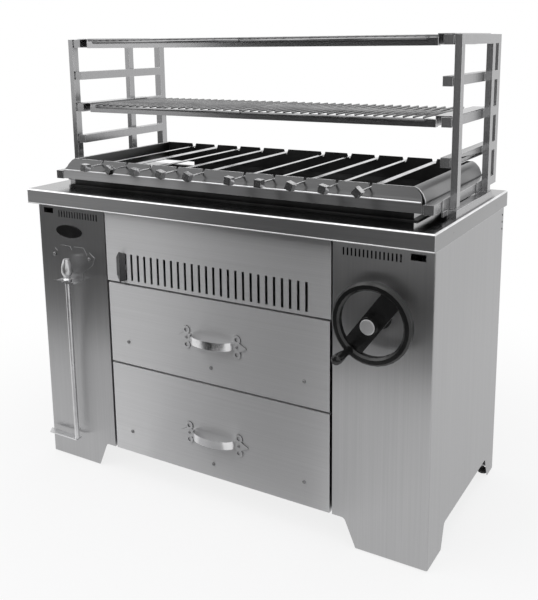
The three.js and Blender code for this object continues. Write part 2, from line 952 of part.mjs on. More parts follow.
function pinionOutline() {
  const baseRadius = pitchRadius * Math.cos(pressureAngle);
  const involute = (a) => Math.tan(a) - a;
  const halfTooth = (toothPitch - backlash) / 2 / (2 * pitchRadius) * 2;
  const flankShares = [0, 1 / 2, 1];
  const flank = flankShares.map((share) => {
    const r = baseRadius + share * (tipRadius - baseRadius);
    const a = Math.acos(Math.min(baseRadius / r, 1));
    return [r, halfTooth / 2 + involute(pressureAngle) - involute(a)];
  });
  const tooth = [[rootRadius, flank[0][1]], ...flank];
  const points = [];
  for (let i = 0; i < pinionTeeth; i++) {
    const middle = Math.PI + (2 * Math.PI * (i + 1 / 2)) / pinionTeeth;
    for (const [r, a] of tooth) points.push([r, middle - a]);
    for (const [r, a] of [...tooth].reverse()) points.push([r, middle + a]);
  }
  return points.map(([r, a]) => [wheelX + r * Math.cos(a), wheelZ + r * Math.sin(a)]);
}

function rackOutline() {
  const flat = toothPitch / 4 - backlash / 2;
  const slope = Math.tan(pressureAngle);
  const tip = rackPitchX + toothModule;
  const root = rackPitchX - 1.25 * toothModule;
  const below = Math.ceil((liftUp + toothPitch) / toothPitch);
  const above = Math.ceil((liftDown + toothPitch) / toothPitch);
  const points = [];
  for (let i = -below; i <= above; i++) {
    const z = wheelZ + i * toothPitch;
    const tipHalf = flat - slope * (tip - rackPitchX);
    const rootHalf = flat + slope * (rackPitchX - root);
    points.push([root, z - rootHalf], [tip, z - tipHalf], [tip, z + tipHalf], [root, z + rootHalf]);
  }
  const low = wheelZ - (below + 1 / 2) * toothPitch;
  const high = wheelZ + (above + 1 / 2) * toothPitch;
  return [[root - rackBack, low], [root, low], ...points, [root, high], [root - rackBack, high]];
}

function liftCarrier() {
  const beamTop = beamBottom + beamHeight;
  const near = carrierY - beamWidth / 2;
  const far = carrierY + beamWidth / 2;
  const rackLeft = rackPitchX - 1.25 * toothModule - rackBack;
  const lifter = (s) => [
    rod("z", s * rodSpread, carrierY, rodRadius, beamTop - weld, bedHeight - gap, 12),
    rod("z", s * rodSpread, carrierY, rodPadRadius, bedHeight - gap - rodPadHeight, bedHeight - gap, 12),
  ];
  return join(
    box(-rodSpread - beamWidth, rackLeft + weld, near, far, beamBottom, beamTop),
    lifter(-1),
    lifter(1),
    prism("y", rackOutline(), near, far),
  );
}

// Depths of the drive from the column's front sheet
const rimRearY = cabinetFront - rimStandOff;
const rimFrontY = rimRearY - rimDepth;
const hubFrontY = cabinetFront - hubFrontReach + capThickness;
const hubRearY = cabinetFront - hubBackReach;
const spokeRear = (rimFrontY + rimRearY) / 2 + spokeThickness / 2;
const shaftRear = carrierY + beamWidth / 2 + shaftTail;

function liftShaft() {
  return join(
    rod("y", wheelX, wheelZ, shaftRadius, hubFrontY + gap, shaftRear),
    prism("y", pinionOutline(), carrierY - pinionWidth / 2, carrierY + pinionWidth / 2),
  );
}

function handwheel() {
  const soft = rimRadial / 4;
  const inner = rimOuter - rimRadial;
  const rim = [
    [inner, rimFrontY + soft],
    [inner + soft, rimFrontY],
    [rimOuter - soft, rimFrontY],
    [rimOuter, rimFrontY + soft],
    [rimOuter, rimRearY - soft],
    [rimOuter - soft, rimRearY],
    [inner + soft, rimRearY],
    [inner, rimRearY - soft],
  ];
  const along = [Math.cos(gripAngle), Math.sin(gripAngle)];
  const across = [-along[1], along[0]];
  const reach = rimOuter - rimRadial / 2;
  const corner = (a, b) => [
    wheelX + a * reach * along[0] + (b * spokeWidth * across[0]) / 2,
    wheelZ + a * reach * along[1] + (b * spokeWidth * across[1]) / 2,
  ];
  const spoke = [corner(-1, -1), corner(1, -1), corner(1, 1), corner(-1, 1)];
  const gripX = wheelX + gripRadius * along[0];
  const gripZ = wheelZ + gripRadius * along[1];
  const pinTip = rimFrontY - gap - gripPinDepth;
  return cut(
    join(
      turned(wheelX, wheelZ, [...rim, rim[0]], 32),
      prism("y", spoke, spokeRear - spokeThickness, spokeRear),
      rod("y", wheelX, wheelZ, hubRadius, hubFrontY, hubRearY, 24),
      rod("y", gripX, gripZ, gripPinRadius, pinTip, rimFrontY + rimDepth / 2, 16),
    ),
    rod("y", wheelX, wheelZ, shaftRadius + gap, hubFrontY - overrun, hubRearY + overrun),
  );
}

const hubCap = () =>
  turned(
    wheelX,
    wheelZ,
    [
      [0, hubFrontY - gap],
      [capRadius, hubFrontY - gap],
      [capRadius, hubFrontY - gap - capThickness / 2],
      [capRadius - capThickness, hubFrontY - gap - capThickness],
      [0, hubFrontY - gap - capThickness],
    ],
    28,
  );

function crankGrip() {
  const x = wheelX + gripRadius * Math.cos(gripAngle);
  const z = wheelZ + gripRadius * Math.sin(gripAngle);
  const base = rimFrontY - gap;
  const bore = gripPinRadius + gripPinClearance;
  const shapeShares = [
    [0, 1, 0],
    [0.08, 1, 0],
    [0.25, 0, 0],
    [0.45, 0, 0.45],
    [0.68, 0, 0.9],
    [0.85, 0, 1],
    [0.95, 0, 0.75],
  ];
  const outside = shapeShares.map(([along, baseShare, tipShare]) => [
    gripWaist + baseShare * (gripBase - gripWaist) + tipShare * (gripTip - gripWaist),
    base - along * gripLength,
  ]);
  const tip = base - gripLength;
  const boreEnd = base - gripPinDepth - gap;
  const inside = [[0, boreEnd], [bore, boreEnd], [bore, base]];
  const profile = [[bore, base], ...outside, [gripTip / 3, tip], [0, tip], ...inside];
  return turned(x, z, profile, 16);
}

const bearingFront = () => {
  const face = cabinetFront - gap;
  const bore = shaftRadius + shaftClearance;
  const profile = [
    [bore, face - bearingFlange],
    [bearingFlangeRadius, face - bearingFlange],
    [bearingFlangeRadius, face],
    [bearingSleeveRadius, face],
    [bearingSleeveRadius, face + bearingSleeveDepth],
    [bore, face + bearingSleeveDepth],
    [bore, face - bearingFlange],
  ];
  return turned(wheelX, wheelZ, profile, 20);
};

function bearingRear() {
  const front = carrierY + beamWidth / 2 + gap * 2;
  const back = front + bracketThickness;
  const low = wheelZ - bracketHeight / 2;
  const high = wheelZ + bracketHeight / 2;
  return cut(
    join(
      box(wheelX, linerHalf, front, back, low, high),
      rod("y", wheelX, wheelZ, bracketHeight / 2, front, back, 24),
      box(linerHalf - bracketThickness, linerHalf, front, front + bracketFoot, low, high),
    ),
    rod("y", wheelX, wheelZ, shaftRadius + shaftClearance, front - overrun, back + overrun, 24),
  );
}

// Tool bracket and the ash rake that hangs in its fork
const rakeY = cabinetFront - gap - sheet - rakeStandOff;

function toolBracket() {
  const back = cabinetFront - gap;
  const front = back - sheet;
  const top = bracketEarZ + bracketTopRise;
  const half = (s) => [
    [toolX + s * toolNotchHalf, top],
    [toolX + s * bracketTopHalf, top],
    [toolX + s * (earSpan - earRadius / 2), bracketEarZ + earRadius / 2],
    [toolX + s * earSpan, bracketEarZ + earRadius],
    [toolX + s * (earSpan + earRadius), bracketEarZ + earRadius / 4],
    [toolX + s * (earSpan + earRadius / 2), bracketEarZ - earRadius],
    [toolX + s * forkHalf, (bracketEarZ + ledgeZ) / 2 - earRadius / 2],
    [toolX + s * forkHalf, ledgeZ - sheet],
  ];
  const outline = [
    [toolX, top - toolNotchDepth],
    ...half(1),
    ...half(-1).reverse(),
  ];
  const fork = cut(
    box(toolX - forkHalf, toolX + forkHalf, front - forkReach, back, ledgeZ - sheet, ledgeZ),
    box(
      toolX - forkSlotHalf,
      toolX + forkSlotHalf,
      front - forkReach - overrun,
      rakeY,
      ledgeZ - overrun,
      ledgeZ + overrun,
    ),
    rod("z", toolX, rakeY, forkSlotHalf, ledgeZ - overrun, ledgeZ + overrun),
  );
  const lip = box(toolX - forkHalf, toolX + forkHalf, front - forkReach, front - forkReach + sheet,
    ledgeZ - sheet, ledgeZ + sheet * 2);
  const lipSlot = box(toolX - forkSlotHalf, toolX + forkSlotHalf, front - forkReach - overrun,
    front, ledgeZ, ledgeZ + overrun);
  return join(prism("y", outline, front, back), fork, cut(lip, lipSlot, box(
    toolX - forkSlotHalf, toolX + forkSlotHalf, front - forkReach - overrun,
    rakeY, ledgeZ - overrun, ledgeZ + overrun)));
}

function ashRake() {
  const collarLow = ledgeZ + gap;
  const collarHigh = collarLow + rakeCollarHeight;
  const profile = [
    [0, rakeBottom],
    [rakeRodRadius, rakeBottom],
    [rakeRodRadius, collarLow],
    [rakeCollarRadius, collarLow],
    [rakeCollarRadius, collarHigh],
    [rakeNeckRadius, collarHigh + rakeCollarHeight],
    [rakeHandleRadius, collarHigh + rakeHandleLength / 3],
    [rakeHandleRadius, collarHigh + (2 * rakeHandleLength) / 3],
    [rakeNeckRadius, collarHigh + rakeHandleLength],
    [0, collarHigh + rakeHandleLength],
  ];
  const points = profile.map(([r, z]) => new THREE.Vector2(r, z));
  const shaft = solid(new THREE.LatheGeometry(points, 16).rotateX(Math.PI / 2).translate(toolX, rakeY, 0));
  const near = rakeY - rakeBladeWidth / 2;
  const far = rakeY + rakeBladeWidth / 2;
  const right = toolX + rakeRodRadius;
  const left = right - rakeBladeLength;
  const blade = [
    [left, far],
    [left + rakeBladeTaper, near],
    [right, near],
    [right, far],
  ];
  return join(shaft, prism("z", blade, rakeBottom, rakeBottom + rakeBladeThickness));
}

// Notched front rail, rear wall and the curved shields between them
const notchXs = spread(notchCount, notchPitch).map(
  (x) => x + (Math.sign(x) * (notchCentreGap - notchPitch)) / 2,
);
const shieldLine = shieldShares.map(([across, down]) => [
  shieldInner + across * shieldWidth,
  railTop - down * shieldHeight,
]);
const sideTubeInner = innerFrameX - sideTubeExtra;
const barHalf = sideTubeInner - gap;

function endCurve(bottom) {
  const right = [[shieldTopX, railTop], ...shieldLine, [shieldOuterX, bottom]];
  return right.concat(right.map(([x, z]) => [-x, z]).reverse());
}

function notch(x, radius, flare, near, far) {
  const top = railTop + weld;
  const lower = circle(x, skewerZ, radius, 8).filter(([, z]) => z < skewerZ);
  const outline = [
    [x - radius - flare, top],
    [x - radius, skewerZ],
    ...lower,
    [x + radius, skewerZ],
    [x + radius + flare, top],
  ];
  return prism("y", outline, near, far);
}

function frontRail() {
  const half = shieldOuterX;
  const railTopY = railBottomY + railTopInset;
  const railCreaseY = railBottomY + railCreaseInset;
  const face = strip(
    [
      [railTopY, railTop - sheet / 2],
      [railCreaseY, railBottom + railCreaseRise],
      [railBottomY + railLipInset, railBottom + railLipRise],
      [railBottomY, railBottom],
    ],
    sheet,
  );
  const whole = join(
    prism("x", face, -half, half),
    box(-half, half, railTopY - weld, railLegY + sheet / 2, railTop - sheet, railTop),
    box(-half, half, railLegY - sheet / 2, railLegY + sheet / 2, railBottom, railTop),
  );
  const ends = prism("y", endCurve(railBottom - overrun), railBottomY - overrun, railLegY + overrun);
  const barRear = railBottomY + crossBarWidth;
  const barTop = railBottom + crossBarHeight;
  const bar = box(-barHalf, barHalf, railBottomY + sheet / 2, barRear, railBottom, barTop);
  const web = box(-shieldInner, shieldInner, barRear - weld, railLegY, railBottom, railBottom + sheet);
  return cut(
    join(whole.intersect(ends), bar, web),
    notchXs.map((x) =>
      notch(x, frontNotchRadius, frontNotchFlare, railCreaseY - sheet, railLegY + overrun)),
  );
}

function rearWall() {
  const back = rearWallFront + heavySheet;
  const wall = prism("y", endCurve(railBottom - rearWallLap), rearWallFront, back);
  const bar = box(-barHalf, barHalf, back - weld, postFront - gap, sideTubeBottom, sideTubeTop);
  return cut(
    wall,
    notchXs.map((x) => notch(x, rearNotchRadius, rearNotchFlare, rearWallFront - overrun, back + overrun)),
  ).add(bar);
}

function shield() {
  const line = [
    [shieldInner, railBottom],
    [shieldInner, railTop - sheet / 2],
    [shieldTopX, railTop - sheet / 2],
    ...shieldLine,
  ];
  return prism("y", strip(line, sheet), railLegY + sheet / 2 + gap, rearWallFront - gap);
}

// A skewer along Y through its own origin: square block, round neck and flat pointed blade
function skewer() {
  const half = blockSize / 2;
  const wide = bladeWidth / 2;
  const blockY = railBottomY - blockReach;
  const neckEndY = railLegY + neckLap;
  const bladeTipY = rackRear - bladeTipInset;
  const blade = [
    [-neckRadius, neckEndY],
    [neckRadius, neckEndY],
    [wide, neckEndY + bladeShoulder],
    [wide, bladeTipY - bladePoint],
    [0, bladeTipY],
    [-wide, bladeTipY - bladePoint],
    [-wide, neckEndY + bladeShoulder],
  ];
  return join(
    box(-half, half, blockY - half, blockY + half, -half, half),
    rod("y", 0, 0, neckRadius, blockY, neckEndY + bladeShoulder, 8),
    prism("z", blade, -bladeThickness / 2, bladeThickness / 2),
  );
}

// Warming rack
const rungZs = Array.from({ length: rungCount }, (_, i) => topHeight + rungRise + i * rungPitch);
const rackTop = rungZs.at(-1) + tubeSize;
const outerPostX = innerFrameOuter + postGap;

function innerFrame() {
  const rungs = rungZs.map((z) =>
    box(innerFrameX, innerFrameOuter, rungFront, postFront + weld, z, z + tubeSize));
  const spacers = rungZs.flatMap((z) =>
    [frontPostY, rearPostY].map((y) => {
      const nearY = y + (outerPostDepth - padSize) / 2;
      const lowZ = z + (tubeSize - padSize) / 2;
      return box(innerFrameOuter - weld, outerPostX - gap, nearY, nearY + padSize, lowZ, lowZ + padSize);
    }));
  return join(
    box(innerFrameX, innerFrameOuter, postFront, rackRear, sideTubeBottom, rackTop),
    box(sideTubeInner, innerFrameOuter, sideTubeFront, postFront + weld, sideTubeBottom, sideTubeTop),
    rungs,
    spacers,
  );
}

function outerFrame() {
  const outer = outerPostX + outerPostWidth;
  const sillInner = outerPostX - sheet / 2;
  const low = topHeight + gap;
  const lugInner = innerFrameOuter + gap;
  const rear = rearPostY + outerPostDepth;
  const lugBottom = topHeight + lugLift;
  const frontLugY = frontPostY + frontLugOverlap - lugLength;
  const rearLugY = rearPostY + rearLugOverlap - lugLength;
  const post = (y) => box(outerPostX, outer, y, y + outerPostDepth, low, rackTop);
  const lug = (y) => box(lugInner, sillInner + weld, y, y + lugLength, lugBottom, sideTubeTop + lugLap);
  const lugHalf = (y) => box(lugInner, outerPostX + weld, y, y + lugLength, lugBottom, low + sillHeight);
  return join(
    post(frontPostY),
    post(rearPostY),
    box(outerPostX, outer, frontPostY, rear, rackTop - tubeSize, rackTop),
    box(sillInner, sillInner + sillWidth, frontPostY - sillLead, rear, low, low + sillHeight),
    lug(frontLugY),
    lug(rearLugY),
    lugHalf(frontLugY),
    lugHalf(rearLugY),
  );
}

// Shelf frame whose side flanges rest on a pair of rungs, and its wire grids
function shelfFrame(rungTop) {
  const flangeLow = rungTop + gap;
  const tubeTop = rungTop - shelfTubeDrop;
  const tubeLow = tubeTop - shelfTubeHeight;
  const barHalf = shelfHalf - weld;
  const bar = (y) => box(-barHalf, barHalf, y, y + shelfTubeDepth, tubeLow, tubeTop);
  const side = (s) => [
    [s * shelfHalf, tubeLow + sheet],
    [s * shelfHalf, flangeLow],
    [s * (shelfHalf + shelfFlangeReach), flangeLow],
    [s * (shelfHalf + shelfFlangeReach), flangeLow + sheet],
    [s * (shelfHalf - sheet), flangeLow + sheet],
    [s * (shelfHalf - sheet), tubeLow + sheet],
  ];
  const sides = [-1, 1].map((s) => prism("y", side(s), shelfFront + sheet, shelfRear - sheet));
  return join(bar(shelfFront), bar(shelfRear - shelfTubeDepth), sides);
}

// Wires lie across the frame's two bars and end in border rods that run just outside them
function wireGrid(rungTop) {
  const wireZ = rungTop - shelfTubeDrop + gap + wireRadius;
  const near = shelfFront - gap - borderRadius;
  const far = shelfRear + gap + borderRadius;
  const right = shelfHalf - gridSideInset;
  const wirePitch = (right - gridJoint - 2 * wireRadius) / (wireCount - 1);
  const wires = Array.from({ length: wireCount }, (_, i) =>
    prism("y", diamond(gridJoint + wireRadius + i * wirePitch, wireZ, wireRadius), near, far));
  const borders = [near, far].map((y) => rod("x", y, wireZ, borderRadius, gridJoint, right, 6));
  return join(borders, wires);
}

add("worktop", worktop(), steel);
add("left_column", mirrorX(column(false)), steel);
add("right_column", column(true), steel);
add("front_vent_panel", ventPanel(), steel);
add("damper", damper(), steel);
add("back_panel", backPanel(), steel);
add("base_pan", basePan(), steel);
add("bulkhead_left", mirrorX(bulkhead()), steel);
add("bulkhead_right", bulkhead(), steel);
add("firebox", firebox(), darkSteel);
add("fire_bed", fireBed(), darkSteel);
add("lift_carrier", liftCarrier(), darkSteel);
add("lift_shaft", liftShaft(), darkSteel);
add("bearing_front", bearingFront(), darkSteel);
add("bearing_rear", bearingRear(), steel);
add("handwheel", handwheel(), black);
add("hub_cap", hubCap(), bright);
add("crank_grip", crankGrip(), black);

const drawers = [
  ["upper", upperDrawerBottom, upperDrawerTop, upperLedge, handleShare],
  ["lower", apronHeight, lowerDrawerTop, lowerLedge, lowerHandleShare],
];
for (const [name, bottom, top, ledge, share] of drawers) {
  add(name + "_drawer_front", drawerFront(bottom, top), steel);
  add(name + "_drawer_box", drawerBox(bottom, top, ledge), steel);
  add(name + "_drawer_handle", handle(bottom + share * (top - bottom)), bright);
}

add("tool_bracket", toolBracket(), steel);
add("ash_rake", ashRake(), bright);

const footGeometry = geometryOf(levellingFoot());
for (const [name, s, y] of [
  ["foot_front_left", -1, frontPadY],
  ["foot_front_right", 1, frontPadY],
  ["foot_rear_left", -1, rearPadY],
  ["foot_rear_right", 1, rearPadY],
]) {
  addMesh(name, footGeometry, black).position.set(s * padX, y, 0);
}

add("front_rail", frontRail(), steel);
add("rear_wall", rearWall(), steel);
add("left_shield", mirrorX(shield()), steel);
add("right_shield", shield(), steel);
add("outer_frame_left", mirrorX(outerFrame()), steel);
add("outer_frame_right", outerFrame(), steel);
add("inner_frame_left", mirrorX(innerFrame()), steel);
add("inner_frame_right", innerFrame(), steel);

const shelves = [
  ["lower", rungZs[1] + tubeSize],
  ["upper", rungZs[rungCount - 1] + tubeSize],
];
for (const [name, rungTop] of shelves) {
  add(name + "_shelf_frame", shelfFrame(rungTop), bright);
  const grid = wireGrid(rungTop);
  add(name + "_grid_left", mirrorX(grid), bright);
  add(name + "_grid_right", grid, bright);
}

const skewerGeometry = geometryOf(skewer());
notchXs.forEach((x, i) => {
  const mesh = addMesh("skewer_" + (i + 1), skewerGeometry, bright);
  mesh.position.set(x, 0, skewerZ);
  mesh.rotation.y = THREE.MathUtils.degToRad(skewerTurns[i % skewerTurns.length]);
});

// The origin is the bottom centre of the whole, so the body moves back by half of what the grip adds.
const gripFrontY = rimFrontY - gap - gripLength;
grill.position.y = -(gripFrontY + topDepth / 2) / 2;

const part = new THREE.Group();
part.add(grill);

export default part;
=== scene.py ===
"""Looks of the robata grill: finishes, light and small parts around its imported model. Metres, Z up."""

import math

import bmesh
import bpy
from mathutils import Matrix, Vector


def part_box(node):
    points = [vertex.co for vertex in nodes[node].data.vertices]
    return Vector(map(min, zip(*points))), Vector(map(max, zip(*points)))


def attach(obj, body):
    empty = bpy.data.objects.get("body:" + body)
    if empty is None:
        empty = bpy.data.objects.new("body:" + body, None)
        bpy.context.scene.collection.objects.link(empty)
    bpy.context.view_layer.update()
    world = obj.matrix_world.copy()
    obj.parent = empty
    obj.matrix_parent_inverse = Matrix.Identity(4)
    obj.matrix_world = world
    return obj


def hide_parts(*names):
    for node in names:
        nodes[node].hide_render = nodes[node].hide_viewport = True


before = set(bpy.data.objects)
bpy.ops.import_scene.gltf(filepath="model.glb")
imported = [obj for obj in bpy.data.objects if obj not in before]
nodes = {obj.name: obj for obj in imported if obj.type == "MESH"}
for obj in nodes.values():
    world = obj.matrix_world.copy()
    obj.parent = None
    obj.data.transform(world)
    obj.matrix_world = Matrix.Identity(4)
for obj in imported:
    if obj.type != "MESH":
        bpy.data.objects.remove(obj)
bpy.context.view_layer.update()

MM = 0.001
UP = Vector((0, 0, 1))

# Which nodes share a finish
COLUMNS = ["left_column", "right_column"]
PANELS = ["front_vent_panel", "upper_drawer_front", "lower_drawer_front"]
INNER = ["back_panel", "base_pan", "bulkhead_left", "bulkhead_right", "upper_drawer_box",
         "lower_drawer_box", "bearing_rear"]
FRAMES = ["outer_frame_left", "outer_frame_right", "inner_frame_left", "inner_frame_right"]
SHELVES = ["upper_shelf_frame", "lower_shelf_frame"]
SHIELDS = ["left_shield", "right_shield"]
FIRED = ["firebox", "fire_bed", "lift_carrier", "lift_shaft", "bearing_front", "rear_wall"]
FEET = ["foot_front_left", "foot_front_right", "foot_rear_left", "foot_rear_right"]
HANDLES = ["upper_drawer_handle", "lower_drawer_handle"]
SKEWERS = [f"skewer_{i}" for i in range(1, 11)]
GRIDS = ["upper_grid_left", "upper_grid_right", "lower_grid_left", "lower_grid_right"]

# Boxes and planes that several parts share
COLUMN_LOW, COLUMN_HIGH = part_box("right_column")
CABINET_FRONT, CABINET_SIDE = COLUMN_LOW.y, COLUMN_HIGH.x
TOP_LOW, TOP_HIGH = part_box("worktop")
RAIL_LOW, RAIL_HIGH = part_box("front_rail")
WALL_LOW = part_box("rear_wall")[0]
RIM_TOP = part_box("firebox")[1].z


# Materials

# Scales of the noise across brushed steel's lines, along them, and of smudges on it
FINE_LINES, FINE_LENGTH = 900, 3
BROAD_LINES, BROAD_LENGTH = 130, 1.2
SMUDGES = 3.5
# How much darker and lighter than the steel its fine lines are
LINE_DARKER, LINE_LIGHTER = 0.016, 0.008
# Level of the dark bands that the broad lines make, and how strongly they show
BAND_LEVEL, BAND_SHARE = 0.86, 0.1
# How far the lines and the smudges each move the roughness down and up
ROUGH_DOWN, ROUGH_UP = 0.02, 0.03
# Values that most of a noise lies between
MOST = (0.3, 0.7)
# Keeps the tangent from being zero on faces that lie across the grain
TANGENT_SHIFT = (1e-3, 2e-3, 3e-3)


def grey(level):
    """A grey given as it looks on screen, as a linear colour."""
    linear = level / 12.92 if level <= 0.04045 else ((level + 0.055) / 1.055) ** 2.4
    return (linear, linear, linear * 1.01, 1)


class Shader:
    """A material's node tree with short calls to add and join its nodes."""

    def __init__(self, name):
        self.material = bpy.data.materials.new(name)
        self.material.use_nodes = True
        self.tree = self.material.node_tree
        self.surface = self.tree.nodes["Principled BSDF"]

    def node(self, kind, values=(), **settings):
        made = self.tree.nodes.new("ShaderNode" + kind)
        for key, value in settings.items():
            setattr(made, key, value)
        for key, value in dict(values).items():
            self.put(made.inputs[key], value)
        return made

    def put(self, socket, value):
        if isinstance(value, bpy.types.NodeSocket):
            self.tree.links.new(value, socket)
        else:
            socket.default_value = value

    def place(self):
        return self.node("TexCoord").outputs["Object"]

    def noise(self, scale, detail=3, stretch=(1, 1, 1)):
        at = self.node("Mapping", {"Vector": self.place(), "Scale": stretch})
        made = self.node("TexNoise", {"Vector": at.outputs[0], "Scale": scale, "Detail": detail})
        return made.outputs[0]

    def lines(self, grain, across, along, detail):
        """Noise drawn out into lines that run along grain."""
        return self.noise(1.0, detail, [along if abs(part) > 0.5 else across for part in grain])

    def spread(self, value, low, high, start=0.0, end=1.0):
        """Maps start..end to low..high, smoothly where that isn't the whole range."""
        made = self.node("MapRange", {0: value, 1: start, 2: end, 3: low, 4: high})
        made.interpolation_type = "SMOOTHSTEP" if (start, end) != (0.0, 1.0) else "LINEAR"
        return made.outputs[0]

    def mix(self, factor, first, second, blend="MIX"):
        made = self.node("Mix", data_type="RGBA", blend_type=blend)
        self.put(made.inputs[0], factor)
        self.put(made.inputs[6], first)
        self.put(made.inputs[7], second)
        return made.outputs[2]

    def bump(self, height, strength, distance):
        values = {"Strength": strength, "Distance": distance, "Height": height}
        return self.node("Bump", values).outputs[0]

    def finish(self, **sockets):
        for key, value in sockets.items():
            self.put(self.surface.inputs[key.replace("_", " ")], value)
        return self.material


def steel(name, level, roughness, anisotropy, grain=(1, 0, 0)):
    """Brushed stainless steel whose fine lines run along grain."""
    shader = Shader(name)
    fine = shader.lines(grain, FINE_LINES, FINE_LENGTH, detail=4)
    broad = shader.lines(grain, BROAD_LINES, BROAD_LENGTH, detail=2)
    smudge = shader.noise(SMUDGES, detail=4)
    dark, light = grey(level - LINE_DARKER), grey(level + LINE_LIGHTER)
    colour = shader.mix(shader.spread(fine, 0, 1, *MOST), dark, light)
    band = shader.mix(shader.spread(broad, 0, 1, *MOST), grey(BAND_LEVEL), grey(1.0))
    colour = shader.mix(BAND_SHARE, colour, band, "MULTIPLY")
    lined = shader.spread(fine, roughness - ROUGH_DOWN, roughness + ROUGH_UP)
    smudged = shader.spread(smudge, -ROUGH_DOWN, ROUGH_UP)
    rough = shader.node("Math", {0: lined, 1: smudged}, operation="ADD")
    normal = shader.node("NewGeometry").outputs["Normal"]
    across = shader.node("VectorMath", {0: normal, 1: grain}, operation="CROSS_PRODUCT")
    tangent = shader.node("VectorMath", {0: across.outputs[0], 1: TANGENT_SHIFT}, operation="ADD")
    return shader.finish(
        Base_Color=colour,
        Metallic=1.0,
        Roughness=rough.outputs[0],
        Anisotropic=anisotropy,
        Tangent=tangent.outputs[0],
        Normal=shader.bump(fine, 0.02, 0.2 * MM),
    )


def bright_steel(name, level, roughness):
    """Drawn or polished bar, with faint marks and no one direction of grain."""
    shader = Shader(name)
    marks = shader.noise(180, detail=5)
    broad = shader.noise(14)
    return shader.finish(
        Base_Color=shader.mix(shader.spread(broad, 0, 1, *MOST), grey(level - 0.05), grey(level + 0.03)),
        Metallic=1.0,
        Roughness=shader.spread(marks, roughness - 0.03, roughness + 0.05, *MOST),
        Normal=shader.bump(marks, 0.015, 0.3 * MM),
    )


def fired_steel(name, level):
    """Steel blackened by fire, with soot and a dull scale."""
    shader = Shader(name)
    soot = shader.noise(9, detail=6)
    scale = shader.noise(160, detail=4)
    return shader.finish(
        Base_Color=shader.mix(shader.spread(soot, 0, 1, 0.35, 0.7), grey(level), grey(level + 0.09)),
        Metallic=0.0,
        Specular_IOR_Level=0.2,
        Roughness=shader.spread(soot, 0.7, 0.45, 0.35, 0.7),
        Normal=shader.bump(scale, 0.25, 0.6 * MM),
    )


def moulding(name, level, roughness):
    """Moulded plastic with a fine even texture."""
    shader = Shader(name)
    fine = shader.noise(900, detail=2)
    wear = shader.noise(30, detail=4)
    return shader.finish(
        Base_Color=shader.mix(shader.spread(wear, 0, 1, 0.45, 0.8), grey(level), grey(level + 0.04)),
        Roughness=shader.spread(wear, roughness - 0.05, roughness + 0.08),
        Normal=shader.bump(fine, 0.08, 0.2 * MM),
    )


COLUMN_STEEL = steel("column_steel", 0.71, grain=(0, 0, 1), roughness=0.36, anisotropy=0.9)
PANEL_STEEL = steel("panel_steel", 0.78, roughness=0.4, anisotropy=0.92)
TOP_STEEL = steel("top_steel", 0.57, roughness=0.14, anisotropy=0.3)
FRAME_STEEL = steel("frame_steel", 0.66, grain=(0, 0, 1), roughness=0.22, anisotropy=0.8)
SHELF_STEEL = steel("shelf_steel", 0.7, roughness=0.2, anisotropy=0.6)
# The rail steel is darker than the other steel: painted shade on the rail's slope and top, the handle
# plates' sides and the rivets.
RAIL_STEEL_PAINTED_SHADE = steel("rail_steel_painted_shade", 0.33, roughness=0.28, anisotropy=0.4)
FOLD_STEEL = steel("fold_steel", 0.57, roughness=0.32, anisotropy=0.85)
INNER_STEEL = steel("inner_steel", 0.62, roughness=0.42, anisotropy=0.6)
# The edge steel is lighter than the faces it rounds off: a painted highlight along the real rounded edges
# and folds.
EDGE_STEEL_PAINTED_HIGHLIGHT = bright_steel("edge_steel_painted_highlight", 0.95, 0.42)
WIRE_STEEL = bright_steel("wire_steel", 0.54, 0.22)
BRIGHT_STEEL = bright_steel("bright_steel", 0.84, 0.14)
CAP_GREY = bright_steel("cap_grey", 0.72, 0.45)
SCREW_STEEL = bright_steel("screw_steel", 0.5, 0.3)
RAKE_STEEL = bright_steel("rake_steel", 0.82, 0.3)
# The cut steel is dark: partly the dull cut edge, partly painted shade inside the vents and the port.
CUT_STEEL_AND_PAINTED_SHADE = bright_steel("cut_steel_and_painted_shade", 0.2, 0.6)
# The fired steel also blackens the rail's skirt, where its black is painted shade.
FIRED_STEEL_AND_SHADE = fired_steel("fired_steel", 0.1)
WHEEL_BLACK = moulding("wheel_black", 0.06, 0.2)
FOOT_BLACK = moulding("foot_black", 0.09, 0.55)
BADGE_BLACK = moulding("badge_black", 0.06, 0.12)


# Finishes of the model's own nodes

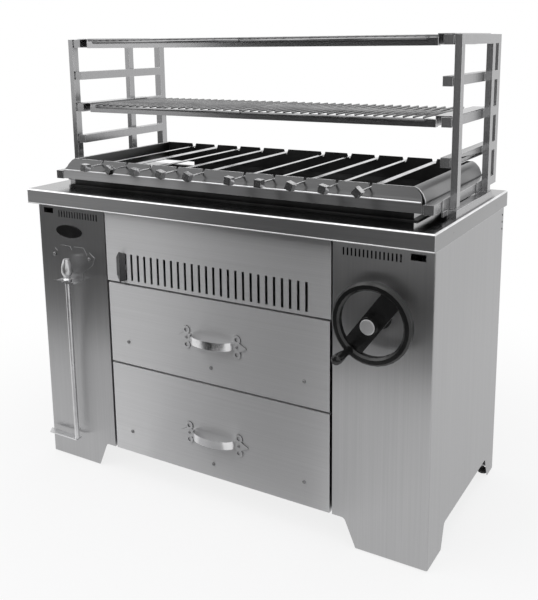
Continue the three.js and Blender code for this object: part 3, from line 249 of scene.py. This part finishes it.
# Materials by slot, the last of which is on the rounded edges, and the edges' width in mm. Where the last is
# the edge steel, its lighter colour is a painted highlight.
FINISHES = [
    (COLUMNS, [COLUMN_STEEL, CUT_STEEL_AND_PAINTED_SHADE], None),
    (PANELS, [PANEL_STEEL, EDGE_STEEL_PAINTED_HIGHLIGHT], 0.25),
    (INNER, [INNER_STEEL], 0.6),
    (["worktop"], [TOP_STEEL, FOLD_STEEL, EDGE_STEEL_PAINTED_HIGHLIGHT], 2.2),
    (FRAMES, [FRAME_STEEL, EDGE_STEEL_PAINTED_HIGHLIGHT], 1.2),
    (SHELVES, [SHELF_STEEL, EDGE_STEEL_PAINTED_HIGHLIGHT], 1.2),
    (["front_rail"], [RAIL_STEEL_PAINTED_SHADE, FOLD_STEEL, EDGE_STEEL_PAINTED_HIGHLIGHT], 1.0),
    (SHIELDS, [FOLD_STEEL, EDGE_STEEL_PAINTED_HIGHLIGHT], 1.0),
    (["tool_bracket"], [COLUMN_STEEL, EDGE_STEEL_PAINTED_HIGHLIGHT], 0.5),
    (["damper"], [TOP_STEEL, EDGE_STEEL_PAINTED_HIGHLIGHT], 0.5),
    (FIRED, [FIRED_STEEL_AND_SHADE], 0.5),
    (FEET, [FOOT_BLACK], 0.5),
    (HANDLES, [BRIGHT_STEEL, PANEL_STEEL, RAIL_STEEL_PAINTED_SHADE], None),
    (GRIDS, [BRIGHT_STEEL], 0.4),
    (SKEWERS, [BRIGHT_STEEL, EDGE_STEEL_PAINTED_HIGHLIGHT], 0.7),
    (["ash_rake"], [RAKE_STEEL], 0.4),
    (["handwheel", "crank_grip"], [WHEEL_BLACK], 1.0),
    (["hub_cap"], [CAP_GREY], 0.4),
]
SMOOTH_ANGLE = math.radians(35)
FLAT_ANGLE = math.radians(1)
# The model has slivers narrower than this, which are closed
SLIVER = 0.06 * MM
BEND_WIDTH = 4 * MM
# How far a point may be from an edge or a face and still count as on it
NEAR = 0.2 * MM
# Where the vents and the port are cut in a column's front sheet: depth behind its face, and height
CUT_DEPTH = 4 * MM
VENTS_LOW, VENTS_HIGH = 0.74, 0.835
# Depth in front of the cabinet within which a drawer handle's fixing plates lie
HANDLE_PLATE_REACH = 3 * MM
# A face counts as parallel to an axis when its normal's part along that axis is no more than this
PARALLEL = 0.3
PLATE_PARALLEL = 0.7


def on_worktop_rim(point):
    inside = (
        TOP_LOW.x + NEAR < point.x < TOP_HIGH.x - NEAR
        and TOP_LOW.y + NEAR < point.y < TOP_HIGH.y - NEAR
    )
    return point.z > TOP_HIGH.z - NEAR and not inside


def on_column_corner(point):
    return abs(point.x) > CABINET_SIDE - NEAR and point.y < CABINET_FRONT + NEAR


# Folded edges with a wider radius: where they lie, and the slot of their material. The worktop's slot is the
# lighter edge steel, a painted highlight.
BENDS = {
    "worktop": (on_worktop_rim, 2),
    "left_column": (on_column_corner, 0),
    "right_column": (on_column_corner, 0),
}


def smoothing():
    """A modifier tree that shades smooth over all edges under SMOOTH_ANGLE."""
    tree = bpy.data.node_groups.new("smooth_by_angle", "GeometryNodeTree")
    tree.interface.new_socket("Geometry", in_out="INPUT", socket_type="NodeSocketGeometry")
    tree.interface.new_socket("Geometry", in_out="OUTPUT", socket_type="NodeSocketGeometry")
    start = tree.nodes.new("NodeGroupInput")
    end = tree.nodes.new("NodeGroupOutput")
    faces = tree.nodes.new("GeometryNodeSetShadeSmooth")
    edges = tree.nodes.new("GeometryNodeSetShadeSmooth")
    edges.domain = "EDGE"
    edges.inputs["Shade Smooth"].default_value = False
    angle = tree.nodes.new("GeometryNodeInputMeshEdgeAngle")
    sharp = tree.nodes.new("FunctionNodeCompare")
    sharp.operation = "GREATER_THAN"
    sharp.inputs[1].default_value = SMOOTH_ANGLE
    tree.links.new(start.outputs[0], faces.inputs["Geometry"])
    tree.links.new(faces.outputs[0], edges.inputs["Geometry"])
    tree.links.new(angle.outputs["Unsigned Angle"], sharp.inputs[0])
    tree.links.new(sharp.outputs[0], edges.inputs["Selection"])
    tree.links.new(edges.outputs[0], end.inputs[0])
    return tree


SMOOTHING = smoothing()


def modifier(node, kind, **settings):
    made = node.modifiers.new(kind.lower(), kind)
    for key, value in settings.items():
        setattr(made, key, value)


def bend(node, on_bend, slot):
    """A wider radius along one folded edge, which is where the points that on_bend accepts lie."""
    group = node.vertex_groups.new(name="bend")
    place = node.matrix_world
    group.add([v.index for v in node.data.vertices if on_bend(place @ v.co)], 1.0, "REPLACE")
    modifier(node, "BEVEL", width=BEND_WIDTH, segments=4, limit_method="VGROUP",
             vertex_group=group.name, material=slot)


def soften(node, width):
    """Small rounded edges on a sharp model, as folded sheet and cut bar have, and smooth curves."""
    modifier(node, "WELD", merge_threshold=SLIVER)
    modifier(node, "DECIMATE", decimate_type="DISSOLVE", angle_limit=FLAT_ANGLE)
    if node.name in BENDS:
        bend(node, *BENDS[node.name])
    if width:
        last = len(node.data.materials) - 1
        modifier(node, "BEVEL", width=width * MM, segments=2, limit_method="ANGLE",
                 angle_limit=SMOOTH_ANGLE, material=last)
    modifier(node, "NODES", node_group=SMOOTHING)
    modifier(node, "WEIGHTED_NORMAL", keep_sharp=True, weight=100)


def give_slot(node, slot, chosen):
    """Gives a slot's material to the faces that chosen accepts by their centre and normal."""
    place = node.matrix_world
    turn = place.to_3x3()
    for polygon in node.data.polygons:
        if chosen(place @ polygon.center, turn @ polygon.normal):
            polygon.material_index = slot


def is_upright(centre, normal):
    return abs(normal.z) < PARALLEL


def is_cut_wall(centre, normal):
    """The walls of the vents and the port in a column's front sheet, which take the dark cut steel: partly
    the dull cut edge, partly painted shade.
    """
    in_sheet = centre.y < CABINET_FRONT + CUT_DEPTH and VENTS_LOW < centre.z < VENTS_HIGH
    return in_sheet and abs(normal.y) <= PARALLEL


def is_handle_plate(centre, normal):
    return centre.y > CABINET_FRONT - HANDLE_PLATE_REACH


def is_handle_plate_side(centre, normal):
    return is_handle_plate(centre, normal) and abs(normal.y) <= PLATE_PARALLEL


for names, materials, width in FINISHES:
    for name in names:
        nodes[name].data.materials.clear()
        for material in materials:
            nodes[name].data.materials.append(material)
        soften(nodes[name], width)

# The rail's upright faces take the fold steel, leaving its slope and top in the darker rail steel, which is
# painted shade.
for name in ["worktop", "front_rail"]:
    give_slot(nodes[name], 1, is_upright)
for name in COLUMNS:
    give_slot(nodes[name], 1, is_cut_wall)
# The handle plates' sides take the darker rail steel, painted shade.
for name in HANDLES:
    give_slot(nodes[name], 1, is_handle_plate)
    give_slot(nodes[name], 2, is_handle_plate_side)


# Building blocks of the small parts


def new_object(name, data):
    made = bpy.data.objects.new(name, data)
    bpy.context.scene.collection.objects.link(made)
    return made


def new_mesh(name, mesh):
    data = bpy.data.meshes.new(name)
    mesh.to_mesh(data)
    mesh.free()
    return new_object(name, data)


def piece(name, mesh, material, body="stand"):
    """A new part of the grill that moves with a body."""
    bmesh.ops.recalc_face_normals(mesh, faces=mesh.faces[:])
    made = new_mesh(name, mesh)
    for polygon in made.data.polygons:
        polygon.use_smooth = True
    made.data.materials.append(material)
    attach(made, body)
    return made


def ring_loft(mesh, rings):
    """Skins closed rings of points, and closes both ends."""
    made = [[mesh.verts.new(point) for point in ring] for ring in rings]
    for low, high in zip(made, made[1:]):
        for i in range(len(low)):
            j = (i + 1) % len(low)
            mesh.faces.new((low[i], low[j], high[j], high[i]))
    mesh.faces.new(made[0])
    mesh.faces.new(list(reversed(made[-1])))


def around(count):
    """Angles of a whole turn in even steps."""
    return [2 * math.pi * k / count for k in range(count)]


def turned(mesh, sections, along, sides):
    """A round form about a level line: each section is its middle point and its radius."""
    side = along.cross(UP).normalized()
    up = side.cross(along)
    ring_loft(mesh, [
        [middle + radius * (math.cos(a) * side + math.sin(a) * up) for a in around(sides)]
        for middle, radius in sections
    ])


def bar(mesh, start, end, radius, taper, sides=10):
    """A round bar between two points, whose ends narrow to the share taper of its radius."""
    along = (end - start).normalized()
    inset = (1 - taper) * radius * along
    turned(mesh, [(start, taper * radius), (start + inset, radius), (end - inset, radius),
                  (end, taper * radius)], along, sides)


def dome(name, place, outward, radius, profile, sides, material, body="stand"):
    """A round head on a face. The profile gives each ring's share of the radius, and its rise."""
    mesh = bmesh.new()
    sections = [(place + outward * radius * rise, radius * share) for share, rise in profile]
    turned(mesh, sections, outward, sides)
    return piece(name, mesh, material, body)


# Badge and screws

FRONT = Vector((0, -1, 0))

BADGE_CENTRE = Vector((-0.499, CABINET_FRONT, 0.727))
BADGE_HALF_WIDTH = 51 * MM
BADGE_HALF_HEIGHT = 20 * MM
BADGE_THICKNESS = 1.6 * MM
BADGE_SIDES = 64
# Share of the half height, and share of the thickness
BADGE_PROFILE = [(1.0, 0.05), (1.0, 0.7), (0.96, 0.95), (0.9, 1.0), (0.86, 0.9), (0.5, 1.05), (0.15, 1.15)]

SCREW_PROFILE = [(1.0, 0.0), (1.0, 0.25), (0.8, 0.55), (0.45, 0.72), (0.36, 0.72), (0.2, 0.2)]
DRAWER_SCREW = 5 * MM
HANDLE_SCREW = 4 * MM
BRACKET_SCREW = 6 * MM
PLATE_FRONT = CABINET_FRONT - 2.3 * MM
UPPER_SCREWS = [(-0.290, 0.424), (-0.004, 0.402), (0.282, 0.424)]
LOWER_SCREWS = [(-0.291, 0.145), (-0.004, 0.119), (0.281, 0.146)]
HANDLE_SPACING = 0.164
BRACKET_SCREWS = [("left", -0.560, 0.653), ("right", -0.423, 0.653)]


def badge():
    """Bare domed oval plate on the left column."""
    mesh = bmesh.new()
    rings = []
    for share, rise in BADGE_PROFILE:
        half_width = BADGE_HALF_WIDTH - (1 - share) * BADGE_HALF_HEIGHT
        half_height = share * BADGE_HALF_HEIGHT
        middle = BADGE_CENTRE + rise * BADGE_THICKNESS * FRONT
        rings.append([
            middle + Vector((half_width * math.cos(a), 0, half_height * math.sin(a)))
            for a in around(BADGE_SIDES)
        ])
    ring_loft(mesh, rings)
    piece("badge_plate", mesh, BADGE_BLACK)


def screw(name, place, radius, body="stand"):
    """Domed screw head with a sunk middle, facing the front."""
    dome(name, place, FRONT, radius, SCREW_PROFILE, 20, SCREW_STEEL, body)


def screws():
    for drawer, places in (("upper_drawer", UPPER_SCREWS), ("lower_drawer", LOWER_SCREWS)):
        for i, (x, z) in enumerate(places, 1):
            screw(f"{drawer}_screw_{i}", Vector((x, CABINET_FRONT, z)), DRAWER_SCREW, drawer)
        low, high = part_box(drawer + "_handle")
        for word, side in (("left", -1), ("right", 1)):
            place = Vector((side * HANDLE_SPACING / 2, PLATE_FRONT, (low.z + high.z) / 2))
            screw(f"{drawer}_handle_screw_{word}", place, HANDLE_SCREW, drawer)
    for word, x, z in BRACKET_SCREWS:
        screw(f"tool_bracket_screw_{word}", Vector((x, PLATE_FRONT, z)), BRACKET_SCREW)


badge()
screws()


# Folds of the worktop and the rail: rounded beads in the lighter edge steel, a painted highlight

FOLD_TAPER = 0.5
HEM_RADIUS = 2 * MM
HEM_PROUD = 0.6 * MM
CREASE_RADIUS = 2.2 * MM
CREASE_HALF_LENGTH = 0.558
CREASE_Y, CREASE_Z = -0.1572, 0.8985
TAB_EDGE_RADIUS = 1.6 * MM
TAB_EDGE_PROUD = 0.3 * MM
TAB_EDGE_INSET = 3.1 * MM
HALF_NOTCH = 5.6 * MM
TABS_HALF_LENGTH = 0.533


def folds(name, spans, y, z, radius, sides=10):
    """Rounded edges that run along x, one for each span, in the lighter edge steel as painted highlight."""
    mesh = bmesh.new()
    for start, end in spans:
        bar(mesh, Vector((start, y, z)), Vector((end, y, z)), radius, FOLD_TAPER, sides)
    piece(name, mesh, EDGE_STEEL_PAINTED_HIGHLIGHT)


def worktop_hem():
    """Lower edge of the worktop's front fold."""
    y = TOP_LOW.y + HEM_RADIUS - HEM_PROUD
    folds("worktop_hem", [(TOP_LOW.x + NEAR, TOP_HIGH.x - NEAR)], y, TOP_LOW.z + HEM_RADIUS, HEM_RADIUS)


def rail_crease():
    """Fold between the rail's slope and its upright face."""
    span = (-CREASE_HALF_LENGTH, CREASE_HALF_LENGTH)
    folds("front_rail_crease", [span], CREASE_Y, CREASE_Z, CREASE_RADIUS)


def rail_tab_edges():
    """Upper edges of the rail's tabs, which stand between the skewers' notches."""
    notches = [sum(corner.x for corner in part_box(name)) / 2 for name in SKEWERS]
    starts = [-TABS_HALF_LENGTH] + [x + HALF_NOTCH for x in notches]
    ends = [x - HALF_NOTCH for x in notches] + [TABS_HALF_LENGTH]
    z = RAIL_HIGH.z - TAB_EDGE_RADIUS + TAB_EDGE_PROUD
    folds("front_rail_tab_edges", zip(starts, ends), RAIL_HIGH.y - TAB_EDGE_INSET, z, TAB_EDGE_RADIUS, 8)


worktop_hem()
rail_crease()
rail_tab_edges()


# Rivets through the worktop's fold and the side sheets

RIVET_PROFILE = [(1.0, -0.1), (1.0, 0.1), (0.85, 0.35), (0.5, 0.52), (0.15, 0.58)]
RIVET = 3 * MM
RIVET_SUNK = 1.5 * MM
# Name, distance from the middle on x, and places on y and z
RIVETS = [
    ("worktop", TOP_HIGH.x - RIVET_SUNK, [(-0.118, 0.8275), (0.241, 0.8275)]),
    ("side", CABINET_SIDE, [(0.338, 0.742), (0.338, 0.762), (0.338, 0.782)]),
]


# The rivets take the darker rail steel, which is painted shade.
def rivets(word, side):
    outward = Vector((side, 0, 0))
    for group, x, places in RIVETS:
        for i, (y, z) in enumerate(places, 1):
            place = Vector((side * x, y, z))
            dome(f"{group}_rivet_{word}_{i}", place, outward, RIVET, RIVET_PROFILE, 16, RAIL_STEEL_PAINTED_SHADE)


rivets("left", -1)
rivets("right", 1)


# Skirts: the lowest strips of the rear wall and the rail, down to the fire box's rim. Both are black; under
# the rail that black is painted shade.

SKIRT_GAP = 0.5 * MM
TOE_THICKNESS = 1 * MM


def skirt(name, left, right, outer, inner, toe, top):
    """An upright strip between the planes outer and inner, whose flat foot reaches to toe."""
    mesh = bmesh.new()
    bottom = RIM_TOP + SKIRT_GAP
    section = [
        (outer, top), (inner, top), (inner, bottom + TOE_THICKNESS),
        (toe, bottom + TOE_THICKNESS), (toe, bottom), (outer, bottom),
    ]
    ring_loft(mesh, [[Vector((x, y, z)) for y, z in section] for x in (left, 0.0, right)])
    piece(name, mesh, FIRED_STEEL_AND_SHADE)


skirt(
    "rear_wall_skirt",
    left=-0.425,
    right=0.525,
    outer=WALL_LOW.y + 2.5 * MM,
    inner=WALL_LOW.y + 1 * MM,
    toe=WALL_LOW.y - 3.5 * MM,
    top=WALL_LOW.z + 2 * MM,
)
# The rail's black skirt is painted shade under the rail.
skirt(
    "front_rail_skirt",
    left=-0.535,
    right=0.535,
    outer=RAIL_HIGH.y - 7.5 * MM,
    inner=RAIL_HIGH.y - 5.5 * MM,
    toe=RAIL_HIGH.y - 0.5 * MM,
    top=RAIL_LOW.z + 4 * MM,
)


# Wire grids: round wires across two border rods, in place of the model's plainer ones

WIRE_RADIUS = 2.7 * MM
BORDER_RADIUS = 4 * MM
WIRE_COUNT = 21
WIRE_TAPER = 0.6
# Share of the border rod's radius by which its middle is below the wires, which are welded into it
WELDED_SHARE = 0.85


def wire_grid(node, body):
    low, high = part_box(node)
    wire_z = high.z - WIRE_RADIUS
    border_z = wire_z - WIRE_RADIUS - WELDED_SHARE * BORDER_RADIUS
    near, far = low.y + BORDER_RADIUS, high.y - BORDER_RADIUS
    first, last = low.x + WIRE_RADIUS, high.x - WIRE_RADIUS
    mesh = bmesh.new()
    for y in (near, far):
        bar(mesh, Vector((low.x, y, border_z)), Vector((high.x, y, border_z)), BORDER_RADIUS, WIRE_TAPER, 12)
    for i in range(WIRE_COUNT):
        x = first + (last - first) * i / (WIRE_COUNT - 1)
        bar(mesh, Vector((x, near, wire_z)), Vector((x, far, wire_z)), WIRE_RADIUS, WIRE_TAPER)
    made = piece(node + "_wires", mesh, WIRE_STEEL, body)
    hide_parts(node)


for node in GRIDS:
    wire_grid(node, node.split("_")[0] + "_shelf")


# Stage and light

WHITE = (1, 1, 1, 1)
FILL_LIGHT = 0.55
FLOOR_HALF_SIZE = 14
FLOOR_LEVEL = 0.96
# The floor as the camera sees it has this share of white near the grill, and is all white far from it
WHITE_SHARE = 0.8
WHITE_START, WHITE_END = 0.7, 1.8

# Outlines of the cards that lie on the floor, and corners of the one that stands on it
FLOOR_CARD = [(-9.0, -1.15), (-0.6, -1.15), (-0.2, -1.32), (3.0, -1.32),
              (3.0, -3.4), (-2.3, -3.4), (-2.3, -9.0), (-9.0, -9.0)]
PANEL_CARD = [(-0.25, -1.15), (-1.3, -3.4), (-2.8, -3.4), (-0.9, -1.15)]
NEAR_CARD = [(0.3, -0.3), (-0.2, -1.15), (-1.0, -1.15), (-0.3, -0.3)]
WALL_CARD = [(-2.5, -3.4, 0), (0.1, -3.4, 0), (0.1, -3.4, 2.6), (-2.5, -3.4, 2.6)]
# Direction in which a shaded card grows darker, and where along it that starts and ends
SHADE_DIRECTION = (1, -0.65, 0)
SHADE_START, SHADE_END = -0.25, 0.3


def either(tree, first, second):
    """The larger of two ray flags."""
    made = tree.nodes.new("ShaderNodeMath")
    made.operation = "MAXIMUM"
    tree.links.new(first, made.inputs[0])
    tree.links.new(second, made.inputs[1])
    return made.outputs[0]


def background_rays(tree):
    """One where a ray comes from the camera, a metal surface or glass, and else zero."""
    path = tree.nodes.new("ShaderNodeLightPath")
    seen = either(tree, path.outputs["Is Camera Ray"], path.outputs["Is Glossy Ray"])
    return either(tree, seen, path.outputs["Is Transmission Ray"])


def floor():
    """Pale paper that holds the grill's shadow and goes over to white away from it."""
    mesh = bmesh.new()
    bmesh.ops.create_grid(mesh, x_segments=1, y_segments=1, size=FLOOR_HALF_SIZE)
    made = new_mesh("floor", mesh)
    shader = Shader("floor")
    place = shader.node("SeparateXYZ", {0: shader.place()})
    flat = shader.node("CombineXYZ", {0: place.outputs[0], 1: place.outputs[1]})
    away = shader.node("VectorMath", {0: flat.outputs[0]}, operation="LENGTH").outputs["Value"]
    paper = shader.node("BsdfDiffuse", {"Color": grey(FLOOR_LEVEL)})
    white = shader.node("Emission", {"Color": WHITE, "Strength": 1.0})
    share = shader.spread(away, WHITE_SHARE, 1.0, WHITE_START, WHITE_END)
    seen = shader.node("MixShader", {0: share, 1: paper.outputs[0], 2: white.outputs[0]})
    rays = background_rays(shader.tree)
    both = shader.node("MixShader", {0: rays, 1: paper.outputs[0], 2: seen.outputs[0]})
    shader.put(shader.tree.nodes["Material Output"].inputs[0], both.outputs[0])
    made.data.materials.append(shader.material)


def sky():
    """White for the camera and in metal, and a soft even light for everything else."""
    world = bpy.data.worlds.new("studio")
    world.use_nodes = True
    bpy.context.scene.world = world
    tree = world.node_tree
    strength = tree.nodes.new("ShaderNodeMapRange")
    strength.inputs[3].default_value = FILL_LIGHT
    strength.inputs[4].default_value = 1.0
    tree.links.new(background_rays(tree), strength.inputs[0])
    background = tree.nodes["Background"]
    background.inputs[0].default_value = WHITE
    tree.links.new(strength.outputs[0], background.inputs[1])


def card(name, corners, level, light_level=None):
    """A studio card whose reflection shades the steel, and which the camera doesn't see.

    With a light level it is shaded from that level down to the other.
    """
    mesh = bmesh.new()
    mesh.faces.new([mesh.verts.new(corner) for corner in corners])
    made = new_mesh(name, mesh)
    made.visible_camera = False
    made.visible_diffuse = False
    made.visible_shadow = False
    shader = Shader(name)
    colour = grey(level)
    if light_level:
        along = shader.node("VectorMath", {0: shader.place(), 1: SHADE_DIRECTION}, operation="DOT_PRODUCT")
        share = shader.spread(along.outputs["Value"], 0, 1, SHADE_START, SHADE_END)
        colour = shader.mix(share, grey(light_level), grey(level))
    shader.finish(Base_Color=colour, Roughness=0.9)
    made.data.materials.append(shader.material)


def on_floor(outline, height):
    return [(x, y, height) for x, y in outline]


def lamp(name, place, target, size, watts):
    data = bpy.data.lights.new(name, "AREA")
    data.shape = "RECTANGLE"
    data.size, data.size_y = size
    data.energy = watts
    made = new_object(name, data)
    made.location = place
    made.rotation_euler = (Vector(target) - Vector(place)).to_track_quat("-Z", "Y").to_euler()


floor()
sky()
card("floor_card", on_floor(FLOOR_CARD, height=0.004), level=0.28)
card("wall_card", WALL_CARD, level=0.25)
card("panel_card", on_floor(PANEL_CARD, height=0.006), level=0.08)
card("near_card", on_floor(NEAR_CARD, height=0.005), level=0.74, light_level=0.96)
lamp("key", place=(-2.6, -2.6, 3.4), target=(0, 0, 0.6), size=(4, 4), watts=60)
lamp("top", place=(0.4, 0.2, 3.8), target=(0, 0, 0.8), size=(4, 3), watts=40)


# Camera, fitted to the photograph's 538 by 600 frame

LONG_SIDE_PIXELS = 600
FOCAL_PIXELS = 813.9
SENSOR = 36
CAMERA_SHIFT = -0.16
CAMERA_PLACE = Vector((1.1967, -1.9134, 1.2686))
CAMERA_PITCH = math.radians(11.342)
CAMERA_ROLL = math.radians(0.700)
CAMERA_YAW = math.radians(-30.774)
NEAREST, FARTHEST = 0.05, 60


def camera():
    yaw, pitch, roll = CAMERA_YAW, CAMERA_PITCH, CAMERA_ROLL
    ahead = Vector((math.sin(yaw) * math.cos(pitch), math.cos(yaw) * math.cos(pitch), -math.sin(pitch)))
    level = Vector((math.cos(yaw), -math.sin(yaw), 0))
    plumb = ahead.cross(level)
    right = math.cos(roll) * level + math.sin(roll) * plumb
    down = math.cos(roll) * plumb - math.sin(roll) * level
    data = bpy.data.cameras.new("camera")
    data.sensor_width = SENSOR
    data.lens = FOCAL_PIXELS / LONG_SIDE_PIXELS * SENSOR
    data.shift_y = CAMERA_SHIFT
    data.clip_start, data.clip_end = NEAREST, FARTHEST
    made = new_object("camera", data)
    turn = Matrix((right, -down, -ahead)).transposed().to_4x4()
    made.matrix_world = Matrix.Translation(CAMERA_PLACE) @ turn
    bpy.context.scene.camera = made


camera()
bpy.context.scene.view_settings.view_transform = "Standard"
